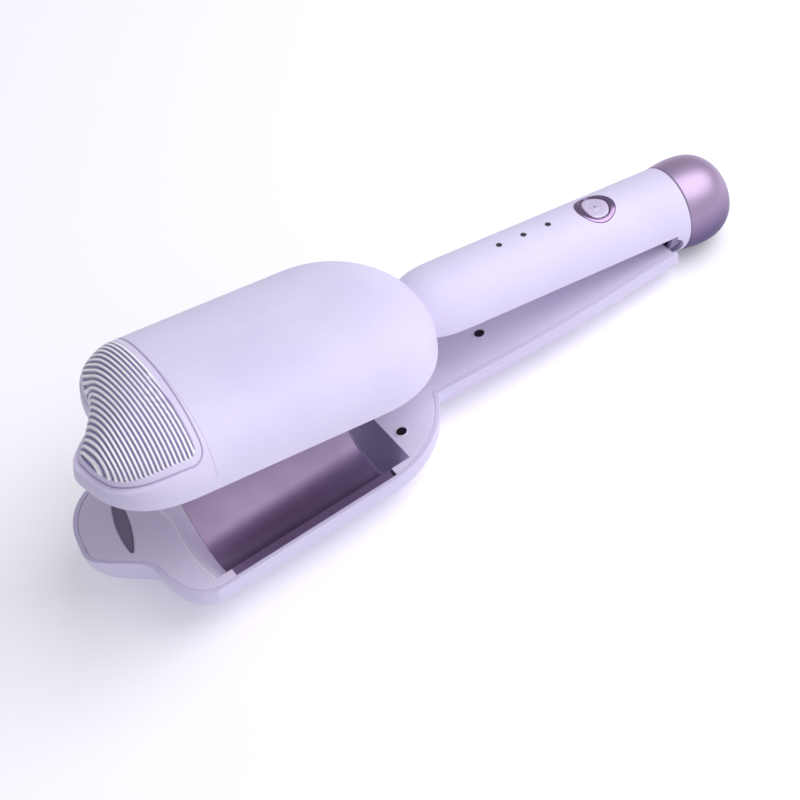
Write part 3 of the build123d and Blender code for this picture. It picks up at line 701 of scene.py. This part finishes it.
def cap_side(wall):
    """Places and radii of the cap: a neck that swells as a quarter sine, then a superellipse up to the
    hole for the cord. The inside is the same shape, drawn in by the wall."""
    neck = np.linspace(CAP_NECK_X, CAP_WIDEST, CAP_NECK_ROWS)[:-1]
    way = (neck - CAP_NECK_X) / (CAP_WIDEST - CAP_NECK_X)
    swell = CAP_NECK_R + (CAP_R - CAP_NECK_R) * np.sin(way * math.pi / 2)
    t = np.linspace(0, 1, CAP_ROWS) * math.pi / 2
    dome_x = CAP_WIDEST + (CAP_DOME - wall) * np.sin(t) ** (2 / CAP_POWER)
    dome_r = (CAP_R - wall) * np.cos(t) ** (2 / CAP_POWER)
    keep = dome_r > CAP_HOLE_R + CAP_HOLE_EDGE
    places = np.append(neck, dome_x[keep])
    radii = np.append(swell - wall * CAP_NECK_WALL, dome_r[keep])
    hole_x = CAP_WIDEST + (CAP_DOME - wall) * CAP_HOLE_AT
    return np.column_stack([places, radii]).tolist() + [[hole_x, CAP_HOLE_R]]


cap_profile = cap_side(0.0) + cap_side(CAP_WALL)[::-1]
turned("turned_end_cap", cap_profile, cap_lacquer, "handle", "cap_metallic", "end_cap")
turned("cord_bush", BUSH, black_nylon, "cord_swivel", "dark_plastic", "cord_inlet", count=72)

# %% [markdown]
# ## The key and its ring
# The key is a rounded, slightly scalloped pebble of frosted plastic, and the metallic ring around it has
# an uneven width. Both outlines are a distance from the key's middle for each of some directions, joined
# by a smooth closed curve: a cubic through each four neighbours. The ring's section is carried round
# between the two outlines and pressed onto the round handle. The key's top is shares of its outline, each
# with a height, and has a shallow round dimple.

# %% Key outlines
KEY_PLACE = np.array([-39.3, -0.7])
RING_REACH = [9.0, 8.75, 8.9, 8.85, 8.95, 8.85, 8.9, 8.9, 9.15, 9.2, 9.05, 9.3]
KEY_REACH = [6.1, 5.9, 6.2, 6.9, 6.2, 5.4, 5.25, 5.95, 6.9, 6.75, 6.8, 6.3]
KEY_SHARES = [
    (0.97, -2.0), (0.97, -0.35), (0.955, -0.16), (0.92, -0.08), (0.8, -0.1), (0.6, -0.2), (0.44, -0.28),
    (0.40, -0.42), (0.37, -0.42), (0.34, -0.26), (0.2, -0.3), (0.16, -0.42), (0.05, -0.45),
]
HANDLE_R, AROUND = 19.0, 180


def closed_curve(values):
    """Smooth periodic curve through equally spaced values: Catmull-Rom cubics, as one array of AROUND."""
    values = np.array(values)
    place = np.arange(AROUND) * len(values) / AROUND
    first = np.floor(place).astype(int)
    t = place - first
    a, b, c, d = (values[(first + k) % len(values)] for k in (-1, 0, 1, 2))
    return b + 0.5 * t * (c - a + t * (2 * a - 5 * b + 4 * c - d + t * (3 * (b - c) + d - a)))


def pebble(name, profile, material, body, slot, replaced, close):
    """Rings of a profile round the key. Each is a reach from the middle and a height above the handle's
    round surface, or below it, and Z is the height plus the surface's own height at that Y."""
    angle = np.linspace(0, 2 * math.pi, AROUND, endpoint=False)
    reach = np.array([row for row, height in profile])
    height = np.array([height for row, height in profile])[:, None]
    along = KEY_PLACE[0] + reach * np.cos(angle)
    across = KEY_PLACE[1] + reach * np.sin(angle)
    points = np.stack([along, across, np.sqrt(HANDLE_R ** 2 - across ** 2) + height], axis=2).reshape(-1, 3)
    faces = grid_faces(len(profile), AROUND, close_rows=close, close_columns=True)
    if not close:
        faces = with_ends(faces, len(profile), AROUND)
    made = piece(name, points, faces, material, body, slot)
    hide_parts(replaced)


ring_out, key_out = closed_curve(RING_REACH), closed_curve(KEY_REACH)
ring_profile = [
    (ring_out, 0.0), (ring_out - 0.25, 0.22), (ring_out - 0.6, 0.25),
    (key_out + 0.5, 0.25), (key_out + 0.2, 0.12), (key_out + 0.12, -0.4), (key_out + 0.12, -1.9),
    (ring_out - 0.8, -1.9), (ring_out - 0.8, -0.05),
]
key_profile = [(key_out * share, height) for share, height in KEY_SHARES]
pebble("key_ring_pebble", ring_profile, ring_lacquer, "handle", "cap_metallic", "power_key_ring", True)
pebble("key_pebble", key_profile, key_polycarbonate, "key", "key_plastic", "power_key", False)

# %% [markdown]
# ## Rims of the screw holes
# The moulded rim round each screw hole stands a little proud of the flat cover, so the screw inside it
# looks deep and dark.

# %% Screw hole rims
SCREWS_MM = [(-155.4, -23.7), (-155.4, 23.7), (-99.2, 0.0)]
RIM = [(2.30, -0.6), (2.30, 0.12), (2.45, 0.26), (2.75, 0.28), (3.0, 0.16), (3.1, -0.02), (2.9, -0.3)]
RIM_AROUND = 48


def hole_rims(name, lower, body):
    """The rim's profile, a radius and a height, carried round each hole."""
    angle = np.linspace(0, 2 * math.pi, RIM_AROUND, endpoint=False)
    radius, height = np.array(RIM).T[:, :, None]
    ring = np.stack(np.broadcast_arrays(radius * np.cos(angle), radius * np.sin(angle), height), axis=2)
    points = np.concatenate([ring.reshape(-1, 3) + [x, y, 0] for x, y in SCREWS_MM])
    faces = grid_faces(len(RIM), RIM_AROUND, close_rows=True, close_columns=True)
    faces = np.concatenate([faces + k * len(RIM) * RIM_AROUND for k in range(len(SCREWS_MM))])
    piece(name, on_jaw(points, lower), faces, cover_abs, body, "lavender_plastic")


hole_rims("lower_hole_rims", True, "lower_arm")
hole_rims("upper_hole_rims", False, "handle")

# %% [markdown]
# ## The spring in the hinge
# A torsion spring is a coil of round wire with two legs. Its middle line turns round the hinge pin while
# it moves along it, and the legs run off straight. A circle of the wire's radius, square to the line,
# makes the tube.

# %% Coil spring
COIL_R, COIL_HALF_Y, COIL_TURNS, COIL_POINTS = 3.4, 2.6, 4.5, 260
LEG, LEG_START, LEG_POINTS = 9.0, 0.3, 12
WIRE_R, WIRE_AROUND = 0.5, 12


def coil_line():
    """Leg, helix about the pin, leg. The helix is the radius times cosine and sine, evenly along Y."""
    turn = np.linspace(0, COIL_TURNS * 2 * math.pi, COIL_POINTS) + math.pi / 2
    across = np.linspace(-COIL_HALF_Y, COIL_HALF_Y, COIL_POINTS)
    coil = np.column_stack([COIL_R * np.cos(turn), across, COIL_R * np.sin(turn)])
    away = np.linspace(LEG, LEG_START, LEG_POINTS)[:, None]
    first = coil[0] + away * [1, 0, 0]
    last = coil[-1] + away[::-1] * [-1, 0, 0]
    return np.concatenate([first, coil, last]) + HINGE_MM


def wire(line, radius, around):
    """Tube along a line: at each point a circle in the two directions square to the line's own direction."""
    ahead = unit(np.gradient(line, axis=0))
    side = unit(np.cross(ahead, [0, 1, 0]))
    angle = np.linspace(0, 2 * math.pi, around, endpoint=False)[:, None]
    spin = np.cos(angle) * side[:, None, :] + np.sin(angle) * np.cross(ahead, side)[:, None, :]
    return (line[:, None, :] + radius * spin).reshape(-1, 3)


line = coil_line()
faces = with_ends(grid_faces(len(line), WIRE_AROUND, close_columns=True), len(line), WIRE_AROUND)
tube = wire(line, WIRE_R, WIRE_AROUND)
spring = piece("coil_spring", tube, faces, spring_steel, "handle", "spring_steel")
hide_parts("torsion_spring")

# %% [markdown]
# ## Studio
# A pale floor that glows a little, as paper lit from below does, one large soft light above the cap side,
# a weaker fill from the near side, and a pale world. The floor's radius and the lights' places and sizes
# are in metres.

# %% Floor
FLOOR_R, FLOOR_CORNERS, FIBRE_MM, FLOOR_GLOW = 3.0, 96, 2.0, 0.18


def floor():
    """A plain disc under the part."""
    angle = np.linspace(0, 2 * math.pi, FLOOR_CORNERS, endpoint=False)
    corners = np.column_stack([FLOOR_R * np.cos(angle), FLOOR_R * np.sin(angle), 0 * angle])
    mesh = bpy.data.meshes.new("floor")
    mesh.from_pydata(corners.tolist(), [], [list(range(FLOOR_CORNERS))])
    made = in_scene("floor", mesh)
    material, tree, shader, place = blank("pale studio paper")
    paper = blended(tree, noise(tree, place, every_mm(FIBRE_MM), 3.0), linear("#F4F3F6"), linear("#F1F0F4"))
    tree.links.new(paper, shader.inputs["Base Color"])
    shader.inputs["Roughness"].default_value = 0.8
    shader.inputs["Emission Color"].default_value = linear("#FFFFFF")
    shader.inputs["Emission Strength"].default_value = FLOOR_GLOW
    mesh.materials.append(material)
    print("floor ready")


floor()

# %% Lights and world
AIM = (0, 0, 0.03)


def soft_light(name, place, size, power, colour):
    """A square light at a place, turned to the part."""
    light = bpy.data.lights.new(name, "AREA")
    light.size, light.energy, light.color = size, power, colour
    made = in_scene(name, light)
    back = unit(np.array(place) - np.array(AIM))
    side = unit(np.cross([0, 0, 1], back))
    turn = Matrix(np.column_stack([side, np.cross(back, side), back]).tolist()).to_4x4()
    made.matrix_world = Matrix.Translation(place) @ turn
    print(name, power, "W")


soft_light("key_light", (0.8, -0.36, 1.1), 1.3, 16.5, (0.99, 0.985, 1.0))
soft_light("fill_light", (0.1, -1.1, 0.7), 1.2, 2.3, (0.97, 0.96, 1.0))
world = bpy.data.worlds.new("pale room")
world.use_nodes = True
world.node_tree.nodes["Background"].inputs["Color"].default_value = linear("#EEECF6")
world.node_tree.nodes["Background"].inputs["Strength"].default_value = 0.5
bpy.context.scene.world = world
bpy.context.scene.view_settings.view_transform = "Standard"

# %% [markdown]
# ## Camera
# A long lens from the near side, high above the jaws. Its three axes were worked out along the handle,
# so they are turned with it.

# %% Camera
CAMERA_MM = [-503.588, -596.758, 584.597]
CAMERA_AXES = np.array([
    [0.84141, -0.53984, -0.02437],
    [0.37580, 0.55213, 0.74426],
    [-0.38833, -0.63539, 0.66745],
])
camera_data = bpy.data.cameras.new("camera")
camera_data.lens, camera_data.sensor_width = 99.0, 36.0
camera = in_scene("camera", camera_data)
axes = unit(CAMERA_AXES @ TILT_MATRIX.T)
camera.matrix_world = Matrix.Translation(on_table(CAMERA_MM)) @ Matrix(axes.T.tolist()).to_4x4()
bpy.context.scene.camera = camera
print("camera at", on_table(CAMERA_MM).round(3))
